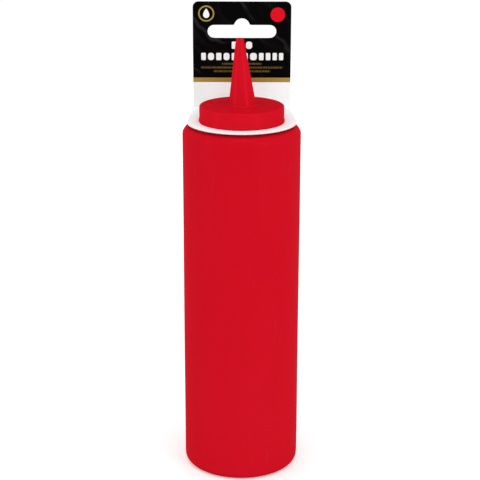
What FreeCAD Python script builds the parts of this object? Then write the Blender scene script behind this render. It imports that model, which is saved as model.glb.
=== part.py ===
import FreeCAD, Part
import math
import os

# Sauce squeeze bottle with its nozzle cap and the folded header card that hangs it on a shop peg.
# Sizes are in millimetres. The origin is on the bottle's axis, on the surface that it stands on.
# +Z is up, and -Y is the front, the way the printed panel faces.

# Bottle, blow-moulded in soft plastic. It is shut and opaque, so it is solid inside.
BODY_RADIUS = 30.0
BODY_HEIGHT = 186.0  # from the standing ring to the ledge round the neck
BASE_FILLET = 3.5
BASE_RING_WIDTH = 4.5  # flat ring that the bottle stands on
PUSH_UP_DEPTH = 1.8  # the base steps up inside its ring, so that it stands steady
PUSH_UP_WIDTH = 5.0  # of the sloping step, up to the flat middle
SHOULDER_FILLET = 4.5
SHOULDER_SLOPE_DEG = 15.0
NECK_RADIUS = 19.0  # over the crests of the screw thread, which is left plain
NECK_CHAMFER = 0.6
LEDGE_SEAT = 2.0  # how far the ledge reaches out under the card

# Screw cap with its nozzle, one moulding. Its rim presses the card onto the ledge.
CAP_CLEARANCE = 0.4  # radial, between the neck and the skirt
CAP_WALL = 2.1
CAP_HEIGHT = 8.4  # from the rim to the flat top
CAP_TOP_WALL = 1.6
CAP_TOP_FILLET = 0.8
CAP_BORE_CHAMFER = 0.4
BEAD_PROUD = 0.25  # the rim ends in a low bead
BEAD_HEIGHT = 1.1
BEAD_CHAMFER = 0.35
NOZZLE_HEIGHT = 33.7
NOZZLE_FOOT_RADIUS = 7.0
NOZZLE_TIP_RADIUS = 1.9
NOZZLE_FOOT_WALL = 1.5
ORIFICE_RADIUS = 1.1
NOZZLE_FOOT_FILLET = 1.0
NOZZLE_TIP_CHAMFER = 0.35
NOZZLE_SHIFT = 0.35  # the foot stands this far to the right of the axis
NOZZLE_LEAN_DEG = 2.4  # the soft nozzle leans to the left

# Header card, one piece of board folded at the back of the neck
CARD_THICKNESS = 0.5
CARD_CLEARANCE = 0.35  # radial, between the neck and the card's hole
COLLAR_RADIUS = 27.8  # the collar's round front
FOLD_DISTANCE = 31.0  # from the axis back to the panel's front face
FOLD_RADIUS = 0.6  # on the inside of the fold
PANEL_WIDTH = 51.0
PANEL_HEIGHT = 55.9  # from the collar's upper face to the panel's top edge
PANEL_CORNER_RADIUS = 2.4
SLOT_LENGTH = 35.6
SLOT_HEIGHT = 6.7
SLOT_BELOW_TOP = 15.5  # from the panel's top edge down to the slot's centre line
PEG_SEAT_RADIUS = 4.05  # the arch over the slot's middle, which centres the card on its peg
PEG_SEAT_RISE = 3.4  # from the slot's upper edge to the top of the arch
PEG_SEAT_FILLET = 1.0

# Levels and radii that the pieces share
CAP_RIM_Z = BODY_HEIGHT + CARD_THICKNESS
CAP_TOP_Z = CAP_RIM_Z + CAP_HEIGHT
NECK_TOP_Z = CAP_TOP_Z - CAP_TOP_WALL
CAP_BORE_RADIUS = NECK_RADIUS + CAP_CLEARANCE
CAP_RADIUS = CAP_BORE_RADIUS + CAP_WALL
CARD_HOLE_RADIUS = NECK_RADIUS + CARD_CLEARANCE
LEDGE_RADIUS = CARD_HOLE_RADIUS + LEDGE_SEAT
PANEL_TOP_Z = CAP_RIM_Z + PANEL_HEIGHT

AXIS_X = FreeCAD.Vector(1, 0, 0)
AXIS_Y = FreeCAD.Vector(0, 1, 0)
AXIS_Z = FreeCAD.Vector(0, 0, 1)
ORIGIN = FreeCAD.Vector(0, 0, 0)


def arc(centre, radius, start_deg, end_deg, across, up):
    """Round stretch in the plane of two axes, with its angles counted from the first to the second."""
    def at(degrees):
        turn = math.radians(degrees)
        return centre + across * (radius * math.cos(turn)) + up * (radius * math.sin(turn))

    return Part.Arc(at(start_deg), at((start_deg + end_deg) / 2), at(end_deg)).toShape()


def ends(stretch):
    """First and last point of one stretch of an outline, which is a point or an arc."""
    if isinstance(stretch, FreeCAD.Vector):
        return stretch, stretch
    return stretch.firstVertex().Point, stretch.lastVertex().Point


def outline_face(*stretches):
    """Flat face inside an outline of points and arcs, in order, with straight edges between them."""
    edges = [stretch for stretch in stretches if not isinstance(stretch, FreeCAD.Vector)]
    for before, after in zip(stretches, stretches[1:] + stretches[:1]):
        start = ends(before)[1]
        end = ends(after)[0]
        if not start.isEqual(end, 1e-6):
            edges.append(Part.makeLine(start, end))
    return Part.Face(Part.Wire(Part.sortEdges(edges)[0]))


def section_point(radius, height):
    """Point of a half section, which lies in the plane of X and Z."""
    return FreeCAD.Vector(radius, 0, height)


def section_arc(radius_at_centre, height_at_centre, radius, start_deg, end_deg):
    centre = section_point(radius_at_centre, height_at_centre)
    return arc(centre, radius, start_deg, end_deg, AXIS_X, AXIS_Z)


def make_bottle():
    """Body, shoulder, ledge and neck in one piece, turned about the axis."""
    ring_inner_radius = BODY_RADIUS - BASE_FILLET - BASE_RING_WIDTH
    base_edge = section_arc(BODY_RADIUS - BASE_FILLET, BASE_FILLET, BASE_FILLET, -90, 0)

    # The shoulder falls from the ledge at its slope and runs into the side along a round edge.
    slope = math.radians(SHOULDER_SLOPE_DEG)
    edge_centre_radius = BODY_RADIUS - SHOULDER_FILLET
    slope_length = edge_centre_radius + SHOULDER_FILLET * math.sin(slope) - LEDGE_RADIUS
    slope_foot_z = BODY_HEIGHT - slope_length * math.tan(slope)
    edge_centre_z = slope_foot_z - SHOULDER_FILLET * math.cos(slope)
    shoulder_end_deg = 90 - SHOULDER_SLOPE_DEG
    shoulder_edge = section_arc(edge_centre_radius, edge_centre_z, SHOULDER_FILLET, 0, shoulder_end_deg)

    section = outline_face(
        section_point(0, PUSH_UP_DEPTH),
        section_point(ring_inner_radius - PUSH_UP_WIDTH, PUSH_UP_DEPTH),
        section_point(ring_inner_radius, 0),
        base_edge,
        shoulder_edge,
        section_point(LEDGE_RADIUS, BODY_HEIGHT),
        section_point(NECK_RADIUS, BODY_HEIGHT),
        section_point(NECK_RADIUS, NECK_TOP_Z - NECK_CHAMFER),
        section_point(NECK_RADIUS - NECK_CHAMFER, NECK_TOP_Z),
        section_point(0, NECK_TOP_Z),
    )
    return section.revolve(ORIGIN, AXIS_Z, 360)


def make_skirt_and_top():
    """Cap without its nozzle: the skirt with its bead, the round top edge and the flat top wall."""
    bead_radius = CAP_RADIUS + BEAD_PROUD
    bead_top_z = CAP_RIM_Z + BEAD_HEIGHT
    top_edge_z = CAP_TOP_Z - CAP_TOP_FILLET
    section = outline_face(
        section_point(0, NECK_TOP_Z),
        section_point(CAP_BORE_RADIUS - CAP_BORE_CHAMFER, NECK_TOP_Z),
        section_point(CAP_BORE_RADIUS, NECK_TOP_Z - CAP_BORE_CHAMFER),
        section_point(CAP_BORE_RADIUS, CAP_RIM_Z),
        section_point(bead_radius - BEAD_CHAMFER, CAP_RIM_Z),
        section_point(bead_radius, CAP_RIM_Z + BEAD_CHAMFER),
        section_point(bead_radius, bead_top_z - BEAD_PROUD),
        section_point(CAP_RADIUS, bead_top_z),
        section_arc(CAP_RADIUS - CAP_TOP_FILLET, top_edge_z, CAP_TOP_FILLET, 0, 90),
        section_point(0, CAP_TOP_Z),
    )
    return section.revolve(ORIGIN, AXIS_Z, 360)


def nozzle_cone(foot_radius, tip_radius, below_foot, above_tip):
    """Leaning cone with its two radii at the foot and the tip, run on past both along the same taper."""
    taper = (foot_radius - tip_radius) / NOZZLE_HEIGHT
    cone = Part.makeCone(
        foot_radius + taper * below_foot,
        tip_radius - taper * above_tip,
        below_foot + NOZZLE_HEIGHT + above_tip,
        FreeCAD.Vector(0, 0, CAP_TOP_Z - below_foot),
    )
    cone.rotate(FreeCAD.Vector(0, 0, CAP_TOP_Z), AXIS_Y, -NOZZLE_LEAN_DEG)
    cone.translate(AXIS_X * NOZZLE_SHIFT)
    return cone


def make_cap():
    """Screw cap and nozzle, moulded as one shell with the orifice in its tip."""
    nozzle = nozzle_cone(NOZZLE_FOOT_RADIUS, NOZZLE_TIP_RADIUS, CAP_TOP_WALL / 2, 0)
    tip_edge = max(nozzle.Edges, key=lambda edge: edge.BoundBox.ZMin)
    nozzle = nozzle.makeChamfer(NOZZLE_TIP_CHAMFER, [tip_edge])

    moulding = make_skirt_and_top().fuse(nozzle)
    foot_edges = [
        edge
        for edge in moulding.Edges
        if abs(edge.BoundBox.ZMin - CAP_TOP_Z) < 0.01
        and abs(edge.BoundBox.ZMax - CAP_TOP_Z) < 0.01
        and edge.BoundBox.XMax < NOZZLE_SHIFT + NOZZLE_FOOT_RADIUS * 1.1
    ]
    moulding = moulding.makeFillet(NOZZLE_FOOT_FILLET, foot_edges)

    channel_foot_radius = NOZZLE_FOOT_RADIUS - NOZZLE_FOOT_WALL
    channel = nozzle_cone(channel_foot_radius, ORIFICE_RADIUS, 2 * CAP_TOP_WALL, CAP_TOP_WALL)
    return moulding.cut(channel)


def make_collar():
    """Flat part of the card round the neck: round in front, then narrowing to the panel's width at the fold."""
    half_width = PANEL_WIDTH / 2
    fold_start = FOLD_DISTANCE - FOLD_RADIUS
    corner_reach = math.hypot(half_width, fold_start)
    corner_deg = math.degrees(math.atan2(fold_start, half_width))
    tangent_deg = corner_deg - math.degrees(math.acos(COLLAR_RADIUS / corner_reach))
    middle = AXIS_Z * BODY_HEIGHT
    plan = outline_face(
        arc(middle, COLLAR_RADIUS, 180 - tangent_deg, 360 + tangent_deg, AXIS_X, AXIS_Y),
        FreeCAD.Vector(half_width, fold_start, BODY_HEIGHT),
        FreeCAD.Vector(-half_width, fold_start, BODY_HEIGHT),
    )
    hole_start = AXIS_Z * (BODY_HEIGHT - CARD_THICKNESS)
    hole = Part.makeCylinder(CARD_HOLE_RADIUS, 3 * CARD_THICKNESS, hole_start)
    return plan.extrude(AXIS_Z * CARD_THICKNESS).cut(hole)


def make_fold():
    """Bend between the collar and the panel, a quarter turn of the board along X."""
    centre = FreeCAD.Vector(-PANEL_WIDTH / 2, FOLD_DISTANCE - FOLD_RADIUS, CAP_RIM_Z + FOLD_RADIUS)
    section = outline_face(
        arc(centre, FOLD_RADIUS, 0, -90, AXIS_Y, AXIS_Z),
        arc(centre, FOLD_RADIUS + CARD_THICKNESS, -90, 0, AXIS_Y, AXIS_Z),
    )
    return section.extrude(AXIS_X * PANEL_WIDTH)


def panel_arc(x, z, radius, start_deg, end_deg):
    """Round stretch of an outline on the panel's front face."""
    return arc(FreeCAD.Vector(x, FOLD_DISTANCE, z), radius, start_deg, end_deg, AXIS_X, AXIS_Z)


def make_hang_slot():
    """Cutter for the hang slot: a bar with round ends, and an arch over its middle for a single peg."""
    through = AXIS_Y * (3 * CARD_THICKNESS)
    to_front = AXIS_Y * -CARD_THICKNESS
    slot_z = PANEL_TOP_Z - SLOT_BELOW_TOP
    end_radius = SLOT_HEIGHT / 2
    end_x = SLOT_LENGTH / 2 - end_radius
    slot_top_z = slot_z + end_radius
    arch_z = slot_top_z + PEG_SEAT_RISE - PEG_SEAT_RADIUS
    bar = outline_face(
        panel_arc(end_x, slot_z, end_radius, -90, 90),
        panel_arc(-end_x, slot_z, end_radius, 90, 270),
    )
    arch = outline_face(
        panel_arc(0, arch_z, PEG_SEAT_RADIUS, 0, 180),
        FreeCAD.Vector(-PEG_SEAT_RADIUS, FOLD_DISTANCE, slot_z),
        FreeCAD.Vector(PEG_SEAT_RADIUS, FOLD_DISTANCE, slot_z),
    )
    cutter = bar.extrude(through).fuse(arch.extrude(through))
    arch_feet = [
        edge
        for edge in cutter.Edges
        if abs(edge.BoundBox.ZMin - slot_top_z) < 0.01
        and abs(edge.BoundBox.ZMax - slot_top_z) < 0.01
        and edge.BoundBox.YLength > CARD_THICKNESS
        and abs(edge.CenterOfMass.x) < PEG_SEAT_RADIUS + 0.01
    ]
    cutter = cutter.makeFillet(PEG_SEAT_FILLET, arch_feet)
    cutter.translate(to_front)
    return cutter


def make_panel():
    """Upright printed part of the card, with round top corners and the hang slot."""
    half_width = PANEL_WIDTH / 2
    foot_z = CAP_RIM_Z + FOLD_RADIUS
    corner_x = half_width - PANEL_CORNER_RADIUS
    corner_z = PANEL_TOP_Z - PANEL_CORNER_RADIUS
    front = outline_face(
        FreeCAD.Vector(-half_width, FOLD_DISTANCE, foot_z),
        FreeCAD.Vector(half_width, FOLD_DISTANCE, foot_z),
        panel_arc(corner_x, corner_z, PANEL_CORNER_RADIUS, 0, 90),
        panel_arc(-corner_x, corner_z, PANEL_CORNER_RADIUS, 90, 180),
    )
    return front.extrude(AXIS_Y * CARD_THICKNESS).cut(make_hang_slot())


def make_card():
    """Header card: collar, fold and panel cut from one sheet of board."""
    return make_collar().fuse([make_fold(), make_panel()]).removeSplitter()


def main():
    os.makedirs("parts", exist_ok=True)
    for name, make in (("bottle", make_bottle), ("cap", make_cap), ("card", make_card)):
        shape = make()
        print(name, "solids", len(shape.Solids), "valid", shape.isValid(), "volume", round(shape.Volume, 1))
        shape.exportStep(f"parts/{name}.step")


main()
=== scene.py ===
# %% [markdown]
# # A red squeeze bottle on its header card
#
# The object is a soft plastic sauce bottle with a nozzle cap. A folded card round its neck hangs it on a shop peg.
# The measured frame already holds three plain solids: `bottle`, `cap` and `card`. Here each of them gets a surface
# with the small shapes that moulding and die-cutting leave, and a finish made only from shader nodes.
# Everything is in metres in the frame's own place: +Z is up and -Y is the front.

# %% Load the measured frame
import math

import bpy
import numpy as np
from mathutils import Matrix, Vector


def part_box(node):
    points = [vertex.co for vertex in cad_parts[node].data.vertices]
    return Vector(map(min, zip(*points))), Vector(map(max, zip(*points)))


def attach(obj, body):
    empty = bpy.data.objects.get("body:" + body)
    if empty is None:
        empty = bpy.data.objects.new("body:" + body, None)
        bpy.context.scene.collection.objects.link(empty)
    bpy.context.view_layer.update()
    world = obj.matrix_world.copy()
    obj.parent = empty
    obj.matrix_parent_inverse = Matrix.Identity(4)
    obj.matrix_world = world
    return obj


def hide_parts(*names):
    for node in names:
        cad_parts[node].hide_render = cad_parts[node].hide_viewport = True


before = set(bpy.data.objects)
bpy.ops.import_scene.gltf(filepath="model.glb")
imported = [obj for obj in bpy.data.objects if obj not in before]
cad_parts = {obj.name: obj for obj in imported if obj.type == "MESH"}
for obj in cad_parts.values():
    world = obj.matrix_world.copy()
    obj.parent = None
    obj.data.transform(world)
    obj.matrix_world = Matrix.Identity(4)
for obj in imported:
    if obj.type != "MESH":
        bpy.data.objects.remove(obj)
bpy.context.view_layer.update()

print("pieces in the frame:", sorted(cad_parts))

# %% [markdown]
# ## Sizes come from the frame
#
# A node's box gives the heights, the body's radius and the panel's place. Sizes that no box gives, such as the neck's
# radius, are written where they are used and follow the solids to about 0.1 mm. The roundings are the exception: at the
# panel's corners, the cap's top edge and the nozzle's tip they are larger, and elsewhere they stand for chamfers. The
# shapes are drawn in millimetres, because a label printer or a mould maker thinks in them, and are turned into metres
# at the end.

# %% Read the sizes
MM = 0.001


def box_in_mm(node):
    """Lowest and highest corner of a node of the frame, in millimetres."""
    lowest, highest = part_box(node)
    return np.array(lowest) / MM, np.array(highest) / MM


_, bottle_high = box_in_mm("bottle")
cap_low, cap_high = box_in_mm("cap")
card_low, card_high = box_in_mm("card")

BOARD = 0.5  # thickness of the card
PANEL_WIDTH = 51.0  # of the upright part; the collar is wider
CAP_TOP_WALL = 1.6  # over the closed neck
body_radius = bottle_high[0]
neck_top_z = bottle_high[2]
ledge_z = card_low[2]
rim_z = cap_low[2]
cap_top_z = neck_top_z + CAP_TOP_WALL
nozzle_tip_z = cap_high[2]
panel_front_y = card_high[1] - BOARD
panel_top_z = card_high[2]
panel_half = PANEL_WIDTH / 2
print("body radius", round(body_radius, 2), "ledge", round(ledge_z, 2), "cap rim", round(rim_z, 2))
print("nozzle tip", round(nozzle_tip_z, 2), "panel top", round(panel_top_z, 2), "panel front", round(panel_front_y, 2))

# %% [markdown]
# ## One outline, turned round an axis
#
# A blown bottle and a moulded cap are both half sections turned round an axis. No corner of a moulding is sharp, so
# the section is a path of straight runs with a small arc at every corner. Extra points close to each arc keep the
# light on the long runs even, because a smooth-shaded corner point leans its neighbours' shading.

# %% A path with round corners
ARC_STEP = math.radians(9)
GUARD = 0.2  # mm from the end of a straight run to its extra point


def straight_run(start, end, spacing):
    """Points of a straight run, start + share * (end - start), at even shares and close to both ends."""
    length = np.linalg.norm(end - start)
    if length < 1e-6:
        return start[None]
    shares = np.linspace(0, 1, max(2, math.ceil(length / spacing) + 1))
    if length > 4 * GUARD:
        shares = np.union1d(shares, [GUARD / length, 1 - GUARD / length])
    return start + shares[:, None] * (end - start)


def corner_arc(before, corner, after, radius):
    """Arc that touches both runs at a corner.

    A path that turns by the angle a touches an arc of radius R at R tan(a / 2) from the corner. The arc's centre
    is R to the side that the path turns to, and its points are the first touching point turned about the centre.
    """
    arriving = (corner - before) / np.linalg.norm(corner - before)
    leaving = (after - corner) / np.linalg.norm(after - corner)
    turn = math.atan2(arriving[0] * leaving[1] - arriving[1] * leaving[0], arriving @ leaving)
    if radius == 0 or abs(turn) < 1e-6:
        return corner[None]
    start = corner - arriving * radius * math.tan(abs(turn) / 2)
    centre = start + math.copysign(radius, turn) * np.array([-arriving[1], arriving[0]])
    angles = np.linspace(0, turn, math.ceil(abs(turn) / ARC_STEP) + 1)[:, None]
    arm = start - centre
    across = np.array([-arm[1], arm[0]])
    return centre + np.cos(angles) * arm + np.sin(angles) * across


def rounded_path(corners, spacing, closed=False):
    """Path through rows of (x, y, radius): an arc at every corner and straight runs between the arcs."""
    places = np.array(corners, float)[:, :2]
    radii = [corner[2] for corner in corners]
    count = len(corners)
    inner = range(count) if closed else range(1, count - 1)
    arcs = [corner_arc(places[i - 1], places[i], places[(i + 1) % count], radii[i]) for i in inner]
    if not closed:
        arcs = [places[:1], *arcs, places[-1:]]
    following = arcs[1:] + (arcs[:1] if closed else [])
    stretches = []
    for arc, next_arc in zip(arcs, following):
        run = straight_run(arc[-1], next_arc[0], spacing)
        stretches += [arc, run[1:-1]]
    if not closed:
        stretches.append(arcs[-1])
    path = np.concatenate(stretches)
    fresh = np.linalg.norm(path - np.roll(path, 1, axis=0), axis=1) > 1e-4
    fresh[0] = True
    return path[fresh]


# %% [markdown]
# A turned surface is a grid: one number counts along the section, the other round the axis. Each grid square becomes
# one face. Where a section starts or ends on the axis, a single point with a fan of triangles closes the surface.

# %% From a grid of points to a mesh
def grid_quads(rows, columns, rows_joined=False, columns_joined=True):
    """Corner numbers of the faces of a grid. A joined direction's last line meets its first."""
    row = np.arange(rows if rows_joined else rows - 1)[:, None]
    column = np.arange(columns if columns_joined else columns - 1)[None, :]
    next_row = (row + 1) % rows
    next_column = (column + 1) % columns
    corners = (
        row * columns + column,
        row * columns + next_column,
        next_row * columns + next_column,
        next_row * columns + column,
    )
    return np.stack(np.broadcast_arrays(*corners), axis=-1).reshape(-1, 4)


def make_piece(name, points, faces):
    """Object of that name, with its points given in millimetres and its origin at the frame's origin."""
    mesh = bpy.data.meshes.new(name)
    mesh.from_pydata((points * MM).tolist(), [], faces)
    mesh.validate()
    mesh.shade_smooth()
    piece = bpy.data.objects.new(name, mesh)
    bpy.context.scene.collection.objects.link(piece)
    print(name, "has", len(mesh.vertices), "points and", len(mesh.polygons), "faces")
    return piece


# %% [markdown]
# ## The bottle
#
# It is blown in a mould of two halves, so a fine raised line runs up each side where the halves met, and a short
# pinched ridge crosses the raised middle of its base. The wall is thin and never quite even. Only a real change of
# the surface bends the light along such a wall, so the unevenness is in the shape and not in the material.

# %% The bottle's section and the angles round it
SHOULDER_SLOPE = math.radians(15)
BASE_FILLET, SHOULDER_FILLET = 3.5, 4.5
PUSH_UP_DEPTH = 1.8  # how far the base is raised inside its standing ring
PUSH_UP_RADIUS = 17.0  # of the raised flat middle
RING_INNER_RADIUS = 22.0
LEDGE_RADIUS = 21.35  # of the flat ledge that the card lies on
NECK_RADIUS = 19.0
EVEN_COLUMNS = 240
SEAM_COLUMNS = np.array([0.12, 0.24, 0.38, 0.55, 0.8, 1.2])  # mm from the mould line to the extra columns beside it
shoulder_z = ledge_z - (body_radius - LEDGE_RADIUS) * math.tan(SHOULDER_SLOPE)
bottle_section = rounded_path(
    [
        (0, PUSH_UP_DEPTH, 0),
        (PUSH_UP_RADIUS, PUSH_UP_DEPTH, 1.2),
        (RING_INNER_RADIUS, 0, 1.5),
        (body_radius, 0, BASE_FILLET),
        (body_radius, shoulder_z, SHOULDER_FILLET),
        (LEDGE_RADIUS, ledge_z, 0.4),
        (NECK_RADIUS, ledge_z, 0.3),
        (NECK_RADIUS, neck_top_z, 0.6),
        (0, neck_top_z, 0),
    ],
    spacing=2.4,
)
seam_offsets = np.concatenate([-SEAM_COLUMNS[::-1], [0], SEAM_COLUMNS]) / body_radius
even_angles = np.linspace(0, math.tau, EVEN_COLUMNS, endpoint=False)
bottle_angles = np.unique(
    np.round(np.concatenate([even_angles, seam_offsets % math.tau, math.pi + seam_offsets]), 6)
)
print("bottle section has", len(bottle_section), "points,", len(bottle_angles), "columns")


# %% The bottle's surface
def smooth_rise(value, start, end):
    """0 before start, 1 after end, and 3t^2 - 2t^3 between them, where t is the share of the way."""
    share = np.clip((value - start) / (end - start), 0, 1)
    return share * share * (3 - 2 * share)


SEAM_HEIGHT, SEAM_WIDTH = 0.11, 0.22
SEAM_FADE = np.array([1, 3])  # mm from the base or the ledge: where the line starts and where it is whole
# Waves round the body: height in mm, number of crests, start of the wave, and the climb that turns it by a radian.
ROUND_WAVES = ((0.055, 5, 0.9, 160), (0.035, 8, -1.1, -90))
CLIMBING_WAVE, CLIMB_PER_RADIAN, SWAY = 0.05, 23, 1.5
WAVE_FADE = np.array([5, 22])  # mm from the base or the shoulder


def wall_offset(angle, height):
    """How far the wall stands proud of its true radius, in mm, at an angle and a height.

    Three waves stand for the uneven wall. Two run round the body, cos(crests * angle + start + height / climb), and
    one runs up it, sin(height / climb + sway * cos(angle)). They fade out towards the base and the shoulder. A narrow
    bell curve, exp(-(distance / width) squared), at 0 and 180 degrees adds the line that the mould halves leave.
    """
    waves = sum(wave * np.cos(crests * angle + start + height / climb) for wave, crests, start, climb in ROUND_WAVES)
    waves += CLIMBING_WAVE * np.sin(height / CLIMB_PER_RADIAN + SWAY * np.cos(angle))
    body = smooth_rise(height, *WAVE_FADE) * (1 - smooth_rise(height, *(shoulder_z - WAVE_FADE[::-1])))
    from_seam = np.abs((angle + math.pi / 2) % math.pi - math.pi / 2) * body_radius
    seam = SEAM_HEIGHT * np.exp(-((from_seam / SEAM_WIDTH) ** 2)) * smooth_rise(height, *SEAM_FADE)
    return waves * body + seam * (1 - smooth_rise(height, *(ledge_z - SEAM_FADE[::-1])))


PINCH_HEIGHT, PINCH_WIDTH = 0.45, 0.45
PINCH_FADE = (11, 14)  # mm from the axis
PINCH_REACH, BASE_REACH = 16, 2  # mm: the raised middle lies inside this radius and below this height


def bottle_points():
    """Rings of points at (r cos a, r sin a, z), where r is the section's radius plus the wall's offset.

    On the raised middle of the base the pinched ridge takes ridge height * exp(-(y / ridge width) squared) off z, and
    fades out at both ends.
    """
    radius, height = (side[1:-1, None] for side in bottle_section.T)
    angle = bottle_angles[None, :]
    radius = radius + wall_offset(angle, height)
    across, deep = radius * np.cos(angle), radius * np.sin(angle)
    ridge = PINCH_HEIGHT * np.exp(-((deep / PINCH_WIDTH) ** 2)) * (1 - smooth_rise(np.abs(across), *PINCH_FADE))
    height = height - ridge * (height < BASE_REACH) * (radius < PINCH_REACH)
    return np.stack(np.broadcast_arrays(across, deep, height), axis=-1)


rings = bottle_points()
ring_count, column_count = rings.shape[:2]
base_middle = ring_count * column_count
neck_middle = base_middle + 1
columns = np.arange(column_count)
next_columns = (columns + 1) % column_count
last_ring = (ring_count - 1) * column_count
base_fan = np.stack([np.full(column_count, base_middle), next_columns, columns], axis=-1)
neck_fan = np.stack([last_ring + columns, last_ring + next_columns, np.full(column_count, neck_middle)], axis=-1)
base_height = rings[0, :, 2].min()
bottle_vertices = np.concatenate([rings.reshape(-1, 3), [[0, 0, base_height], [0, 0, neck_top_z]]])
bottle_faces = grid_quads(ring_count, column_count).tolist() + base_fan.tolist() + neck_fan.tolist()
bottle = make_piece("bottle_shell", bottle_vertices, bottle_faces)

# %% [markdown]
# ## The cap and its nozzle
#
# Cap and nozzle are one moulding with the bore through the nozzle left open, so its section is a closed loop that
# never meets the axis. The soft nozzle leans a little, so each ring of the cone has its own middle: the rings are
# slid sideways by a share of their height. The spare angle between a slid cone and a turned one is too small to see.

# %% The cap's section
NOZZLE_LEAN = math.tan(math.radians(2.4))
NOZZLE_FOOT_X = 0.35
CAP_RADIUS, BORE_RADIUS = 21.5, 19.4
BEAD_RADIUS, BEAD_HEIGHT = 21.75, 1.1
WALL_FOOT = 1.3  # height over the rim at which the wall above the bead starts
FOOT_RADIUS, TIP_RADIUS = 7.0, 1.9
CHANNEL_FOOT_RADIUS, ORIFICE_RADIUS = 5.63, 1.1
SLIDE_START, SLIDE_END = FOOT_RADIUS + 1.5, CAP_RADIUS - 2  # radii between which the middle moves over
CAP_COLUMNS = 200
cap_section = rounded_path(
    [
        (CHANNEL_FOOT_RADIUS, neck_top_z, 0.15),
        (BORE_RADIUS, neck_top_z, 0.4),
        (BORE_RADIUS, rim_z, 0.12),
        (BEAD_RADIUS, rim_z, 0.35),
        (BEAD_RADIUS, rim_z + BEAD_HEIGHT, 0.25),
        (CAP_RADIUS, rim_z + WALL_FOOT, 0.3),
        (CAP_RADIUS, cap_top_z, 1.0),
        (FOOT_RADIUS, cap_top_z, 1.0),
        (TIP_RADIUS, nozzle_tip_z, 0.65),
        (ORIFICE_RADIUS, nozzle_tip_z, 0.12),
    ],
    spacing=1.6,
    closed=True,
)
print("cap section has", len(cap_section), "points")


# %% The cap's surface
def cap_points():
    """Rings of points at (r cos a + x, r sin a, z), where x is the middle of that ring.

    The middle is on the axis below the cap's top. Above it, it starts at the nozzle's foot and slides with the
    height. On the flat top it moves over smoothly from the one to the other as the radius shrinks.
    """
    radius, height = cap_section[:, :1], cap_section[:, 1:]
    angle = np.linspace(0, math.tau, CAP_COLUMNS, endpoint=False)[None, :]
    on_nozzle = 1 - smooth_rise(radius, SLIDE_START, SLIDE_END)
    middle = NOZZLE_FOOT_X * on_nozzle - NOZZLE_LEAN * np.maximum(height - cap_top_z, 0)
    across = radius * np.cos(angle) + middle
    return np.stack(np.broadcast_arrays(across, radius * np.sin(angle), height), axis=-1)


rings = cap_points()
cap = make_piece("nozzle_cap", rings.reshape(-1, 3), grid_quads(*rings.shape[:2], rows_joined=True).tolist())

# %% [markdown]
# ## The header card
#
# The card is one flat sheet, die-cut and then folded once. So it is made the same way here: its points are laid out
# flat, with `across` and `along` measured on the sheet, and one function folds them. A ring of faces between two
# outlines makes a flat part with a hole in it: one ring lies round the neck hole, the other round the hang slot.
# Solidify then gives the sheet its thickness, and a fine bevel softens the cut edges.

# %% Fold a flat sheet
FOLD_RADIUS = 0.6
BOW, LEAN = 0.3, 0.25  # mm: back at the panel's sides, forward at its top
BOW_RISE = (2, 30)  # mm over the fold: where the bow starts and where it is whole
fold_start = panel_front_y - FOLD_RADIUS
fold_length = FOLD_RADIUS * math.pi / 2
panel_length = panel_top_z - rim_z - FOLD_RADIUS
sheet_end = fold_start + fold_length + panel_length


def folded(sheet):
    """Place of flat points (across, along) on the front face of the folded card, in mm.

    Up to the fold a point lies flat at (across, along). In the fold it turns by the angle (along - start) / radius
    about a line above the collar. Past it, what is left of along is the height. The panel bows back by a share of
    (across / half width) squared, and leans a little forward towards its top, because no fold stays quite square.
    """
    across, along = sheet[:, 0], sheet[:, 1]
    turn = np.clip((along - fold_start) / FOLD_RADIUS, 0, math.pi / 2)
    rise = np.maximum(along - fold_start - fold_length, 0)
    climb = smooth_rise(rise, 0, panel_length)
    bow = BOW * (across / panel_half) ** 2 * smooth_rise(rise, *BOW_RISE) - LEAN * climb
    deep = np.minimum(along, fold_start) + FOLD_RADIUS * np.sin(turn) + bow
    height = rim_z + FOLD_RADIUS * (1 - np.cos(turn)) + rise
    return np.stack([across, deep, height], axis=-1)


# %% Outlines of the collar, the panel and the holes
COLLAR_RADIUS = 27.8
NECK_HOLE_RADIUS = 19.35
CORNER = 3.0
SLOT_HALF_LENGTH, SLOT_HALF_HEIGHT = 17.8, 3.35
SLOT_BELOW_TOP = 15.5
ARCH_RADIUS, ARCH_RISE, ARCH_FOOT = 4.05, 3.4, 1.0
COLLAR_POINTS, NECK_HOLE_POINTS = 150, 360
COLLAR_SPACING, PANEL_SPACING, SLOT_SPACING = 1.5, 1.0, 0.5
fold_across = np.linspace(-panel_half, panel_half, 52)
slot_middle = np.array([0, sheet_end - SLOT_BELOW_TOP])
print("sheet runs from", -COLLAR_RADIUS, "to", round(sheet_end, 2), "mm along its middle")


def polar(radius, start, end, count):
    """Points at (r cos a, r sin a) for even angles a from start to end, in radians."""
    angle = np.linspace(start, end, count)
    return radius * np.stack([np.cos(angle), np.sin(angle)], axis=-1)


def collar_outline():
    """Round front, then straight to the fold's ends, then the fold line, as seen from above.

    A straight edge from the fold's end touches the circle where the angle between its radius and the line to that
    end has the cosine of circle radius / distance.
    """
    reach = math.hypot(panel_half, fold_start)
    touch = math.atan2(fold_start, panel_half) - math.acos(COLLAR_RADIUS / reach)
    front = polar(COLLAR_RADIUS, math.pi - touch, math.tau + touch, COLLAR_POINTS)
    right_end, left_end = np.array([panel_half, fold_start]), np.array([-panel_half, fold_start])
    right_edge = straight_run(front[-1], right_end, COLLAR_SPACING)[1:]
    left_edge = straight_run(left_end, front[0], COLLAR_SPACING)[:-1]
    back = np.stack([fold_across[::-1][1:-1], np.full(len(fold_across) - 2, fold_start)], axis=-1)
    return np.concatenate([front, right_edge, back, left_edge])


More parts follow.
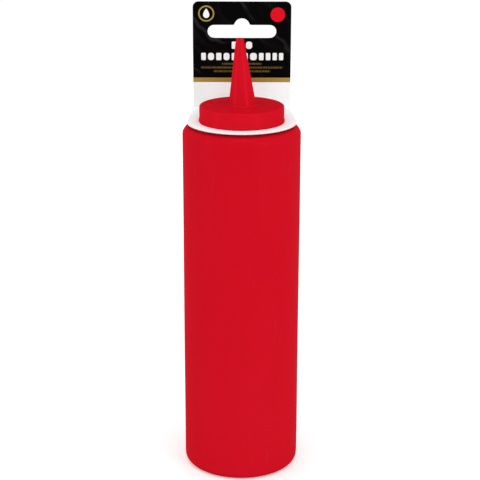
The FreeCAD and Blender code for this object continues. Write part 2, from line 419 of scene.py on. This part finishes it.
def panel_outline():
    """The panel's edge on the flat sheet: the fold line, both sides and the round top corners."""
    foot = fold_start + fold_length
    corners = [
        (-panel_half, foot, 0),
        (panel_half, foot, 0),
        (panel_half, sheet_end, CORNER),
        (-panel_half, sheet_end, CORNER),
    ]
    outline = rounded_path(corners, spacing=PANEL_SPACING, closed=True)
    above = outline[outline[:, 1] > foot + 1e-6]
    return np.concatenate([np.stack([fold_across, np.full(len(fold_across), foot)], axis=-1), above])


def slot_outline():
    """The hang slot round its middle: a bar with round ends, and an arch over it whose feet are rounded.

    A foot's circle touches the arch's circle from outside, so their middles are the sum of both radii apart. It
    also touches the bar's upper edge, which sets its height, and the rest follows from a right-angled triangle.
    """
    end_middle = np.array([SLOT_HALF_LENGTH - SLOT_HALF_HEIGHT, 0])
    arch_middle = np.array([0, SLOT_HALF_HEIGHT + ARCH_RISE - ARCH_RADIUS])
    foot_above = SLOT_HALF_HEIGHT + ARCH_FOOT - arch_middle[1]
    foot_beside = math.sqrt((ARCH_RADIUS + ARCH_FOOT) ** 2 - foot_above**2)
    foot_angle = math.atan2(foot_above, foot_beside)
    foot_middle = np.array([foot_beside, SLOT_HALF_HEIGHT + ARCH_FOOT])
    end = end_middle + polar(SLOT_HALF_HEIGHT, -math.pi / 2, math.pi / 2, 24)
    edge = straight_run(end[-1], np.array([foot_beside, SLOT_HALF_HEIGHT]), SLOT_SPACING)[1:-1]
    foot = foot_middle + polar(ARCH_FOOT, -math.pi / 2, foot_angle - math.pi, 9)
    arch = arch_middle + polar(ARCH_RADIUS, foot_angle, math.pi / 2, 16)[1:]
    low_edge = straight_run(np.array([0, -SLOT_HALF_HEIGHT]), end[0], SLOT_SPACING)[:-1]
    right = np.concatenate([low_edge, end, edge, foot, arch])
    left = right[-2:0:-1] * [-1, 1]
    return slot_middle + np.concatenate([right, left])


# %% Lay the sheet out, fold it and give it its thickness
def flat_ring(outer, hole, middle, steps=12):
    """Flat points on straight lines from an outer outline to a hole's, both at the same angle about a middle."""
    arm, hole_arm = outer - middle, hole - middle
    angle = np.arctan2(arm[:, 1], arm[:, 0])
    hole_angle = np.arctan2(hole_arm[:, 1], hole_arm[:, 0])
    near = np.stack(
        [np.interp(angle, hole_angle, hole_arm[:, axis], period=math.tau) for axis in (0, 1)], axis=-1
    )
    share = np.linspace(0, 1, steps + 1)[:, None, None]
    return middle + arm + share * (near - arm)


def fold_strip(rows=7):
    """Flat points of the fold: even steps along the sheet from the collar's back edge to the panel's foot."""
    along = fold_start + np.linspace(0, fold_length, rows)
    return np.stack(np.meshgrid(fold_across, along), axis=-1)


def joined_sheet(parts):
    """One list of points and faces out of several grids, where points at the same place become one point."""
    points = np.concatenate([folded(grid.reshape(-1, 2)) for grid, _ in parts])
    starts = np.cumsum([0] + [grid.shape[0] * grid.shape[1] for grid, _ in parts[:-1]])
    quads = np.concatenate(
        [grid_quads(*grid.shape[:2], columns_joined=ring) + start for (grid, ring), start in zip(parts, starts)]
    )
    _, kept, number = np.unique(np.round(points, 4), axis=0, return_index=True, return_inverse=True)
    return points[kept], number.ravel()[quads]


neck_hole = polar(NECK_HOLE_RADIUS, -math.pi, math.pi, NECK_HOLE_POINTS + 1)[:-1]
collar = flat_ring(collar_outline(), neck_hole, np.zeros(2))
panel = flat_ring(panel_outline(), slot_outline(), slot_middle)
card_points, card_faces = joined_sheet([(collar, True), (fold_strip(), False), (panel, True)])
card = make_piece("header_card", card_points, card_faces.tolist())

CUT_EDGE_SOFTNESS = 0.07  # mm
thickness = card.modifiers.new("board thickness", "SOLIDIFY")
thickness.thickness = BOARD * MM
thickness.offset = -1
thickness.use_even_offset = True
thickness.material_offset = 1
thickness.material_offset_rim = 2
softened = card.modifiers.new("cut edges", "BEVEL")
softened.width = CUT_EDGE_SOFTNESS * MM
softened.segments = 2
softened.limit_method = "ANGLE"
softened.angle_limit = math.radians(50)
softened.harden_normals = True

# %% [markdown]
# Each new surface stands for its plain solid and rides on the one body that the object has.

# %% Put the pieces in place of the plain solids
for piece, node, finish in (
    (bottle, "bottle", "bottle_plastic"),
    (cap, "cap", "cap_plastic"),
    (card, "card", "card_board"),
):
    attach(piece, "root")
    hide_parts(node)

# %% [markdown]
# ## Nodes with few words
#
# A finish is a small network of nodes. Two helpers keep it readable: one places a node and fills its inputs with
# numbers or with other nodes' outputs, the other does the same for one step of arithmetic.

# %% Helpers for shader nodes
def place(tree, kind, values=None, **settings):
    """New node of a tree. Values fill its inputs by name or number, with a constant or another node's output."""
    made = tree.nodes.new(kind)
    for name, setting in settings.items():
        setattr(made, name, setting)
    for key, value in (values or {}).items():
        if isinstance(value, bpy.types.NodeSocket):
            tree.links.new(value, made.inputs[key])
        else:
            made.inputs[key].default_value = value
    return made


def calc(tree, operation, *values, clamp=False):
    """Output of one Math node."""
    return place(tree, "ShaderNodeMath", dict(enumerate(values)), operation=operation, use_clamp=clamp).outputs[0]


def blend(tree, share, low, high):
    """Output of a colour mix: low where the share is 0, high where it is 1."""
    return place(tree, "ShaderNodeMix", {0: share, 6: low, 7: high}, data_type="RGBA").outputs[2]


def ramp(tree, value, start, end, low=0.0, high=1.0):
    """Output of a smooth Map Range node, which rises from low to high while the value goes from start to end."""
    settings = {"Value": value, "From Min": start, "From Max": end, "To Min": low, "To Max": high}
    return place(tree, "ShaderNodeMapRange", settings, interpolation_type="SMOOTHSTEP").outputs[0]


def new_group(name, inputs, outputs):
    """Shader node group with named sockets. Returns the group, its inputs inside and its outputs inside."""
    group = bpy.data.node_groups.new(name, "ShaderNodeTree")
    for label, kind, start in inputs:
        group.interface.new_socket(label, in_out="INPUT", socket_type=kind).default_value = start
    for label in outputs:
        group.interface.new_socket(label, in_out="OUTPUT", socket_type="NodeSocketFloat")
    return group, group.nodes.new("NodeGroupInput").outputs, group.nodes.new("NodeGroupOutput").inputs


def use(tree, group, **values):
    """Places a node group and fills its inputs. Underscores in the names stand for spaces."""
    inputs = {key.replace("_", " "): value for key, value in values.items()}
    return place(tree, "ShaderNodeGroup", inputs, node_tree=group)


def new_material(name):
    """Material with its Principled node and the place on the piece, in millimetres."""
    material = bpy.data.materials.new(name)
    material.use_nodes = True
    tree = material.node_tree
    where = place(tree, "ShaderNodeTexCoord").outputs["Object"]
    in_mm = place(tree, "ShaderNodeVectorMath", {0: where, 1: (1 / MM,) * 3}, operation="MULTIPLY").outputs[0]
    return material, tree, tree.nodes["Principled BSDF"], in_mm


FLOAT, VECTOR = "NodeSocketFloat", "NodeSocketVector"

# %% [markdown]
# ## The red plastic
#
# Soft polythene has a satin skin. Close up it shows a very fine grain from the mould, slow drifts of tone where the
# wall is thicker or thinner, and a few hair-fine scuffs from packing. Bottle and cap share these effects but not
# their sizes, so the effects are one node group, and each material gives it its own values.

# %% Node group: the skin of a moulding
CLOUD_WEIGHT = 1.5  # of the slow noise, beside the grain
HAIR_EDGE, PATCH_EDGE = (0.64, 0.72), (0.5, 0.62)  # noise values between which scuffs fade in
skin, skin_in, skin_out = new_group(
    "moulded_skin",
    [("Place", VECTOR, (0, 0, 0)), ("Grain", FLOAT, 3.0), ("Drift", FLOAT, 0.02), ("Stretch", FLOAT, 0.4)],
    ["Tone", "Height", "Scuffs"],
)
squeeze = place(skin, "ShaderNodeCombineXYZ", {"X": 1.0, "Y": 1.0, "Z": skin_in["Stretch"]}).outputs[0]
stretched = place(skin, "ShaderNodeVectorMath", {0: skin_in["Place"], 1: squeeze}, operation="MULTIPLY").outputs[0]
drift = place(
    skin, "ShaderNodeTexNoise", {"Vector": stretched, "Scale": skin_in["Drift"], "Detail": 2.0, "Roughness": 0.5}
).outputs[0]
skin.links.new(calc(skin, "SUBTRACT", drift, 0.5), skin_out["Tone"])
grain = place(
    skin, "ShaderNodeTexNoise", {"Vector": skin_in["Place"], "Scale": skin_in["Grain"], "Detail": 3.0}
).outputs[0]
cloud = place(skin, "ShaderNodeTexNoise", {"Vector": skin_in["Place"], "Scale": 0.35, "Detail": 1.0}).outputs[0]
skin.links.new(calc(skin, "MULTIPLY_ADD", cloud, CLOUD_WEIGHT, grain), skin_out["Height"])
turned = place(
    skin, "ShaderNodeMapping", {"Vector": skin_in["Place"], "Rotation": (0.3, 0.5, 0.9), "Scale": (0.9, 0.05, 0.05)}
).outputs[0]
hair = place(skin, "ShaderNodeTexNoise", {"Vector": turned, "Scale": 1.0, "Detail": 4.0, "Roughness": 0.6}).outputs[0]
patches = place(skin, "ShaderNodeTexNoise", {"Vector": skin_in["Place"], "Scale": 0.03, "Detail": 1.0}).outputs[0]
scuffed = calc(skin, "MULTIPLY", ramp(skin, hair, *HAIR_EDGE), ramp(skin, patches, *PATCH_EDGE))
skin.links.new(scuffed, skin_out["Scuffs"])
print("group", skin.name, "gives", [socket.name for socket in skin_out if socket.name])


# %% Materials of bottle and cap
TONE_CONTRAST = 2.2
SCUFF_COLOUR, SCUFF_SHARE = (0.75, 0.08, 0.09, 1), 0.12
TONE_ROUGHNESS, SCUFF_ROUGHNESS = 0.12, 0.15  # how much the tone and the scuffs add to the roughness


def red_plastic(name, deep, light, grain_scale, drift_scale, roughness, glow, bump_height):
    """Satin red plastic between a deep and a light tone, with grain as bump and scuffs that dull the gloss.

    Light that enters the skin and leaves it again is red too, so the soft highlights are: a small metallic share
    gives them the base colour.
    """
    material, tree, shader, in_mm = new_material(name)
    marks = use(tree, skin, Place=in_mm, Grain=grain_scale, Drift=drift_scale)
    tone = calc(tree, "MULTIPLY_ADD", marks.outputs["Tone"], TONE_CONTRAST, 0.5, clamp=True)
    colour = blend(tree, tone, deep, light)
    scuffed = calc(tree, "MULTIPLY", marks.outputs["Scuffs"], SCUFF_SHARE)
    colour = blend(tree, scuffed, colour, SCUFF_COLOUR)
    tree.links.new(colour, shader.inputs["Base Color"])
    dulled = calc(tree, "MULTIPLY_ADD", marks.outputs["Tone"], TONE_ROUGHNESS, roughness)
    dulled = calc(tree, "MULTIPLY_ADD", marks.outputs["Scuffs"], SCUFF_ROUGHNESS, dulled)
    tree.links.new(dulled, shader.inputs["Roughness"])
    relief = {"Height": marks.outputs["Height"], "Strength": 0.5, "Distance": bump_height * MM}
    tree.links.new(place(tree, "ShaderNodeBump", relief).outputs[0], shader.inputs["Normal"])
    shader.inputs["Specular IOR Level"].default_value = 0.0
    shader.inputs["Metallic"].default_value = glow
    shader.inputs["Specular Tint"].default_value = (1.0, 0.15, 0.18, 1)
    shader.inputs["Coat Weight"].default_value = 0.03
    shader.inputs["Coat Roughness"].default_value = 0.3
    return material


bottle_red = red_plastic(
    "bottle red",
    deep=(0.562, 0.0036, 0.0134, 1),
    light=(0.594, 0.0054, 0.0163, 1),
    grain_scale=2.2,
    drift_scale=0.018,
    roughness=0.40,
    glow=0.04,
    bump_height=0.02,
)
cap_red = red_plastic(
    "cap red",
    deep=(0.574, 0.0038, 0.0138, 1),
    light=(0.614, 0.0062, 0.0172, 1),
    grain_scale=3.5,
    drift_scale=0.05,
    roughness=0.29,
    glow=0.10,
    bump_height=0.005,
)
bottle.data.materials.append(bottle_red)
cap.data.materials.append(cap_red)
print("materials", bottle_red.name, "and", cap_red.name, "are on their pieces")

# %% [markdown]
# ## Board and ink
#
# The card is white board with print on its front only. Its cut edges show the bare core, and its back is uncoated.
# Fibres show in all three, so they are a node group. The print itself is made of plain shapes: a black field, a
# gold band under it, a round colour mark and a ring with a drop. Rows of rounded blocks stand where such a card has
# its name, and dashes where it has its small print.

# %% Node groups: fibres of the board, and one printed shape
CLOUDS_WEIGHT = 0.6  # of the slow noise, beside the strands
PULP_MEAN = 0.8  # both noises lie round 0.5, so their sum lies round 0.5 + 0.6 * 0.5
INK_EDGE = 0.06  # mm, half the width over which ink fades out
fibres, fibres_in, fibres_out = new_group(
    "board_fibres", [("Place", VECTOR, (0, 0, 0)), ("Fineness", FLOAT, 2.5)], ["Tone", "Height"]
)
laid = place(
    fibres, "ShaderNodeMapping", {"Vector": fibres_in["Place"], "Rotation": (0, 0.4, 0.2), "Scale": (0.25, 1, 1)}
).outputs[0]
strands = place(
    fibres, "ShaderNodeTexNoise", {"Vector": laid, "Scale": fibres_in["Fineness"], "Detail": 4.0, "Roughness": 0.65}
).outputs[0]
clouds = place(fibres, "ShaderNodeTexNoise", {"Vector": fibres_in["Place"], "Scale": 0.12, "Detail": 2.0}).outputs[0]
pulp = calc(fibres, "MULTIPLY_ADD", clouds, CLOUDS_WEIGHT, strands)
fibres.links.new(pulp, fibres_out["Height"])
fibres.links.new(calc(fibres, "SUBTRACT", pulp, PULP_MEAN), fibres_out["Tone"])

bar, bar_in, bar_out = new_group(
    "printed_bar",
    [
        ("Place", VECTOR, (0, 0, 0)),
        ("Across", FLOAT, 0.0),
        ("Up", FLOAT, 0.0),
        ("Half Length", FLOAT, 1.0),
        ("Half Height", FLOAT, 1.0),
        ("Corner", FLOAT, 0.5),
    ],
    ["Mask"],
)
bar_place = place(bar, "ShaderNodeSeparateXYZ", {0: bar_in["Place"]}).outputs


def beyond(value, middle, half):
    """How far a coordinate lies beyond the inner edge of a bar: max(|value - middle| - (half - corner), 0)."""
    distance = calc(bar, "ABSOLUTE", calc(bar, "SUBTRACT", value, middle))
    inner_half = calc(bar, "SUBTRACT", half, bar_in["Corner"])
    return calc(bar, "MAXIMUM", calc(bar, "SUBTRACT", distance, inner_half), 0.0)


over_x = beyond(bar_place["X"], bar_in["Across"], bar_in["Half Length"])
over_y = beyond(bar_place["Y"], bar_in["Up"], bar_in["Half Height"])
squares = calc(bar, "ADD", calc(bar, "POWER", over_x, 2.0), calc(bar, "POWER", over_y, 2.0))
from_edge = calc(bar, "SUBTRACT", calc(bar, "SQRT", squares), bar_in["Corner"])
bar.links.new(ramp(bar, from_edge, -INK_EDGE, INK_EDGE, 1.0, 0.0), bar_out["Mask"])
print("groups", fibres.name, "and", bar.name, "are ready")

# %% [markdown]
# Each printed shape is a mask between 0 and 1 on the panel, in millimetres across from its middle and up from the
# collar. The black field is printed as dark stone with a few thin pale veins.

# %% Where everything is printed
printed, tree, shader, in_mm = new_material("printed board")
sides = place(tree, "ShaderNodeSeparateXYZ", {0: in_mm}).outputs
up = calc(tree, "SUBTRACT", sides["Z"], float(rim_z))
spot = place(tree, "ShaderNodeCombineXYZ", {"X": sides["X"], "Y": up}).outputs[0]


def printed_bar(across, height, half_length, half_height, corner):
    """Mask of one bar with round corners. With all three halves alike it is a disc."""
    sizes = {"Across": across, "Up": height, "Half_Length": half_length, "Half_Height": half_height, "Corner": corner}
    return use(tree, bar, Place=spot, **sizes).outputs["Mask"]


def disc(middle, radius):
    """Mask of a disc."""
    return printed_bar(*middle, radius, radius, radius)


def either(*masks):
    """Mask of whichever of several shapes is printed."""
    joined = masks[0]
    for mask in masks[1:]:
        joined = calc(tree, "MAXIMUM", joined, mask)
    return joined


BLOCK_HALF_HEIGHT, BLOCK_GAP = 1.9, 1.15
WIDE_BLOCK = 3
WIDE_CORNER, NARROW_CORNER = 1.3, 0.5


def block_word(left, height, widths):
    """Mask of a row of blocks, as far apart as the letters of a word. The wide ones have rounder corners."""
    masks = []
    for width in widths:
        corner = WIDE_CORNER if width > WIDE_BLOCK else NARROW_CORNER
        masks.append(printed_bar(left + width / 2, height, width / 2, BLOCK_HALF_HEIGHT, corner))
        left += width + BLOCK_GAP
    return either(*masks)


BAND_LOW, BAND_HIGH = 13.7, 16.1
inked = ramp(tree, up, BAND_LOW - INK_EDGE, BAND_LOW + INK_EDGE)
field = ramp(tree, up, BAND_HIGH - INK_EDGE, BAND_HIGH + INK_EDGE)
title = either(
    block_word(-5.3, 33.2, (2.7, 2.4, 3.2)),
    block_word(-21.2, 27.25, (2.4, 3.1, 2.7, 3.1, 2.2)),
    block_word(0.6, 27.25, (2.5, 3.5, 2.4, 2.4, 2.2, 2.2)),
)
MARK, MARK_RADIUS = (18.5, 49.1), 3.75
BADGE, RING_OUTER, RING_INNER = (-18.5, 49.6), 4.15, 3.45
mark_disc = disc(MARK, MARK_RADIUS)
ring_mask = calc(tree, "SUBTRACT", disc(BADGE, RING_OUTER), disc(BADGE, RING_INNER))
print("gold band from", BAND_LOW, "to", BAND_HIGH, "mm over the collar, mark at", MARK, "and ring at", BADGE)

# %% The drop in the ring
# A drop's half width is 2.6 R sqrt(u) (1 - u), where u climbs from 0 at its foot to 1 at its tip. The factor makes R
# the half width at its widest, since sqrt(u) (1 - u) is never more than 0.385, or 1 / 2.6.
DROP_RADIUS, DROP_HEIGHT = 1.65, 5.0
DROP_BELOW = 2.3  # from the ring's middle down to the drop's foot
DROP_FACTOR = 2.6
DROP_EDGE = 0.12
climb = calc(tree, "DIVIDE", calc(tree, "SUBTRACT", up, BADGE[1] - DROP_BELOW), DROP_HEIGHT, clamp=True)
half_width = calc(tree, "MULTIPLY", calc(tree, "SQRT", climb), calc(tree, "SUBTRACT", 1.0, climb))
half_width = calc(tree, "MULTIPLY", half_width, DROP_FACTOR * DROP_RADIUS)
beside = calc(tree, "ABSOLUTE", calc(tree, "SUBTRACT", sides["X"], BADGE[0]))
drop = ramp(tree, calc(tree, "SUBTRACT", half_width, beside), 0.0, DROP_EDGE)
print("drop is", 2 * DROP_RADIUS, "mm wide and", DROP_HEIGHT, "mm high")

# %% Lines of small print as gold dashes
# Each line is a thin bar. A noise along it, read at one height only, cuts it into dashes as long as words.
SMALL_PRINT = ((23.45, 10.4), (21.45, 21.4), (19.5, 14.8))  # height over the collar and half length of each line
LINE_HALF_HEIGHT, LINE_CORNER = 0.5, 0.3
NOISE_PER_MM = 0.6
FIRST_NOISE, NEXT_NOISE = 20.0, 9.0  # where the lines start in the noise, so that each has words of its own
WORD_EDGE = (0.44, 0.49)
lines = []
for number, (height, half_length) in enumerate(SMALL_PRINT):
    along = calc(tree, "MULTIPLY_ADD", sides["X"], NOISE_PER_MM, FIRST_NOISE + NEXT_NOISE * number)
    noise = place(tree, "ShaderNodeTexNoise", {"W": along}, noise_dimensions="1D").outputs[0]
    line = printed_bar(0.0, height, half_length, LINE_HALF_HEIGHT, LINE_CORNER)
    lines.append(calc(tree, "MULTIPLY", line, ramp(tree, noise, *WORD_EDGE)))
dashes = either(*lines)
print("lines of small print:", len(lines))

# %% Veins in the black field
# Bands cross the field on a slant and a strong distortion bends them. Only the very top of each band shows, as a thin
# vein, and a slow noise keeps most of it black. A second noise, drawn out along the slant, adds pale wisps.
VEIN_SLANT = math.radians(42)
VEIN_EDGE, KEPT_EDGE, WISP_EDGE = (0.965, 1.0), (0.42, 0.62), (0.50, 0.78)
WISP_SHARE = 0.35
slanted = place(
    tree, "ShaderNodeMapping", {"Vector": spot, "Location": (4.0, 9.0, 0), "Rotation": (0, 0, VEIN_SLANT)}
).outputs[0]
bands = place(
    tree,
    "ShaderNodeTexWave",
    {"Vector": slanted, "Scale": 0.016, "Distortion": 5.0, "Detail": 3.0, "Detail Scale": 1.6, "Detail Roughness": 0.6},
    bands_direction="Y",
).outputs["Fac"]
kept = place(tree, "ShaderNodeTexNoise", {"Vector": spot, "Scale": 0.07, "Detail": 1.0}).outputs[0]
vein = calc(tree, "MULTIPLY", ramp(tree, bands, *VEIN_EDGE), ramp(tree, kept, *KEPT_EDGE))
drawn_out = place(tree, "ShaderNodeMapping", {"Vector": slanted, "Scale": (0.04, 0.16, 1)}).outputs[0]
wisps = place(
    tree, "ShaderNodeTexNoise", {"Vector": drawn_out, "Scale": 1.0, "Detail": 3.0, "Distortion": 0.6}
).outputs[0]
vein_share = calc(tree, "MULTIPLY_ADD", ramp(tree, wisps, *WISP_EDGE), WISP_SHARE, vein, clamp=True)
print("veins cross at", round(math.degrees(VEIN_SLANT)), "degrees")

# %% The printed face
board = use(tree, fibres, Place=in_mm, Fineness=2.5)
white_tone = calc(tree, "MULTIPLY_ADD", board.outputs["Tone"], 0.8, 0.5, clamp=True)
foil_tone = calc(tree, "MULTIPLY_ADD", board.outputs["Tone"], 0.6, 0.5, clamp=True)
# The white holds a little less red than green and blue: a painted tint that cancels the pink which light bounced off
# the red bottle and cap gives the card.
white = blend(tree, white_tone, (0.905, 0.950, 0.945, 1), (0.935, 0.980, 0.975, 1))
black = blend(tree, vein_share, (0.0013, 0.0010, 0.0010, 1), (0.016, 0.0150, 0.0148, 1))
foil = blend(tree, foil_tone, (0.34, 0.240, 0.050, 1), (0.42, 0.295, 0.070, 1))
GOLD_INK, DASH_SHARE = (0.33, 0.215, 0.055, 1), 0.4
WHITE_INK = (0.86, 0.895, 0.89, 1)
RED_INK = (0.695, 0.0058, 0.018, 1)
FOIL_METAL, FOIL_RELIEF = 0.55, 0.8
colour = blend(tree, field, foil, black)
colour = blend(tree, inked, white, colour)
colour = blend(tree, calc(tree, "MULTIPLY", dashes, DASH_SHARE), colour, GOLD_INK)
colour = blend(tree, either(title, drop), colour, WHITE_INK)
colour = blend(tree, mark_disc, colour, RED_INK)
colour = blend(tree, ring_mask, colour, foil)
tree.links.new(colour, shader.inputs["Base Color"])
metal = either(calc(tree, "MULTIPLY", inked, calc(tree, "SUBTRACT", 1.0, field)), ring_mask)
tree.links.new(calc(tree, "MULTIPLY", metal, FOIL_METAL), shader.inputs["Metallic"])
BARE_ROUGHNESS, INK_SHINE = 0.55, -0.14
tree.links.new(calc(tree, "MULTIPLY_ADD", inked, INK_SHINE, BARE_ROUGHNESS), shader.inputs["Roughness"])
relief = calc(tree, "MULTIPLY_ADD", metal, FOIL_RELIEF, board.outputs["Height"])
bump = place(tree, "ShaderNodeBump", {"Height": relief, "Strength": 0.35, "Distance": 0.03 * MM})
tree.links.new(bump.outputs[0], shader.inputs["Normal"])
shader.inputs["Specular IOR Level"].default_value = 0.02
card.data.materials.append(printed)
print("printed face uses", len(tree.nodes), "nodes")


# %% Bare back and cut edges
def bare_board(name, dark, light, fineness, depth):
    """Uncoated board between two tones, with its fibres as bump."""
    material, tree, shader, in_mm = new_material(name)
    marks = use(tree, fibres, Place=in_mm, Fineness=fineness)
    tone = calc(tree, "MULTIPLY_ADD", marks.outputs["Tone"], 1.4, 0.5, clamp=True)
    tree.links.new(blend(tree, tone, dark, light), shader.inputs["Base Color"])
    relief = {"Height": marks.outputs["Height"], "Strength": 0.6, "Distance": depth * MM}
    tree.links.new(place(tree, "ShaderNodeBump", relief).outputs[0], shader.inputs["Normal"])
    tree.links.new(calc(tree, "MULTIPLY_ADD", marks.outputs["Tone"], 0.1, 0.8), shader.inputs["Roughness"])
    shader.inputs["Specular IOR Level"].default_value = 0.15
    return material


card.data.materials.append(
    bare_board("bare back", (0.80, 0.79, 0.76, 1), (0.90, 0.895, 0.87, 1), fineness=1.8, depth=0.05)
)
card.data.materials.append(
    bare_board("cut edge", (0.70, 0.69, 0.66, 1), (0.88, 0.875, 0.86, 1), fineness=6.0, depth=0.04)
)
print("the card has", len(card.data.materials), "materials")

# %% [markdown]
# ## Floor, light and camera
#
# A pale floor runs far behind the object, so it is the whole background. It gives off the little that it lacks to
# pure white, but only to rays that come straight from the camera, a mirror or glass. So no extra light falls on the
# object, and its shadow stays.

# %% The floor
FLOOR_HALF = 6.0  # metres
FLOOR_SHADE = 0.88
FLOOR_LIFT = 0.27  # what the lit floor lacks to white, and a little more
floor_mesh = bpy.data.meshes.new("studio_floor")
floor_corners = [(x * FLOOR_HALF, y * FLOOR_HALF, 0) for x, y in ((-1, -1), (1, -1), (1, 1), (-1, 1))]
floor_mesh.from_pydata(floor_corners, [], [(0, 1, 2, 3)])
floor = bpy.data.objects.new("studio_floor", floor_mesh)
bpy.context.scene.collection.objects.link(floor)


def seen_directly(tree):
    """1 for rays from the camera, a mirror or glass, and 0 for the rays that carry light onto surfaces."""
    path = place(tree, "ShaderNodeLightPath").outputs
    direct = calc(tree, "MAXIMUM", path["Is Camera Ray"], path["Is Glossy Ray"])
    return calc(tree, "MAXIMUM", direct, path["Is Transmission Ray"])


pale = bpy.data.materials.new("pale floor")
pale.use_nodes = True
shader = pale.node_tree.nodes["Principled BSDF"]
shader.inputs["Base Color"].default_value = (FLOOR_SHADE, FLOOR_SHADE, FLOOR_SHADE, 1)
shader.inputs["Roughness"].default_value = 0.9
shader.inputs["Specular IOR Level"].default_value = 0.0
shader.inputs["Emission Color"].default_value = (1, 1, 1, 1)
lift = calc(pale.node_tree, "MULTIPLY", seen_directly(pale.node_tree), FLOOR_LIFT)
pale.node_tree.links.new(lift, shader.inputs["Emission Strength"])
floor_mesh.materials.append(pale)
print("floor is", 2 * FLOOR_HALF, "m wide")

# %% [markdown]
# The light is a bright, even surround with three soft lamps in front and above, and one behind. The surround keeps the
# sides of the red body nearly as bright as its middle. The two strips draw the soft streaks down the nozzle.

# %% The surround and the lamps
SURROUND = 0.84
world = bpy.data.worlds.new("studio")
bpy.context.scene.world = world
world.use_nodes = True
sky = world.node_tree.nodes["Background"]
sky.inputs["Color"].default_value = (1, 1, 1, 1)
brightness = calc(world.node_tree, "MULTIPLY_ADD", seen_directly(world.node_tree), 1 - SURROUND, SURROUND)
world.node_tree.links.new(brightness, sky.inputs["Strength"])


def soft_lamp(name, place_m, aim_m, size, power):
    """Rectangular area lamp that looks at a point. Places and sizes are in metres, the power is in watts."""
    light = bpy.data.lights.new(name, "AREA")
    light.shape = "RECTANGLE"
    light.size, light.size_y = size
    light.energy = power
    lamp = bpy.data.objects.new(name, light)
    bpy.context.scene.collection.objects.link(lamp)
    lamp.location = place_m
    lamp.rotation_euler = (Vector(aim_m) - Vector(place_m)).to_track_quat("-Z", "Y").to_euler()


def round_the_object(turn, distance, height):
    """Place at an angle from the front, counted to the right, and at a distance and a height in metres."""
    angle = math.radians(turn)
    return distance * math.sin(angle), -distance * math.cos(angle), height


soft_lamp("right strip", round_the_object(42, 1.0, 0.35), (0, 0, 0.13), (0.16, 0.8), 2.0)
soft_lamp("left strip", round_the_object(-70, 1.0, 0.35), (0, 0, 0.13), (0.16, 0.8), 1.5)
soft_lamp("high softbox", round_the_object(10, 0.3, 1.05), (0, 0, 0.18), (0.5, 0.5), 1.5)
soft_lamp("rear fill", round_the_object(180, 1.1, 0.45), (0, 0, 0.12), (0.5, 0.5), 1.5)
print("lamps:", [light.name for light in bpy.data.lights])

# %% The camera
# It stands 0.7 m in front of the bottle, a little above its top, and looks down at it.
LENS = 106.05  # mm, for a sensor 36 mm wide
LOOK_DOWN = math.radians(17.83)
LOOK_LEFT = math.radians(0.0608)
TILT = 0.0022  # radians, about the line of sight
CAMERA_PLACE = (0, -0.700, 0.3484)
view = bpy.data.cameras.new("camera")
camera = bpy.data.objects.new("camera", view)
bpy.context.scene.collection.objects.link(camera)
bpy.context.scene.camera = camera
view.sensor_width = 36.0
view.lens = LENS
camera.location = CAMERA_PLACE
camera.rotation_euler = (math.pi / 2 - LOOK_DOWN, 0, LOOK_LEFT)
camera.rotation_euler.rotate_axis("Z", TILT)
print("lens", round(view.lens, 2), "mm")

# %% The view transform
bpy.context.scene.view_settings.view_transform = "Standard"
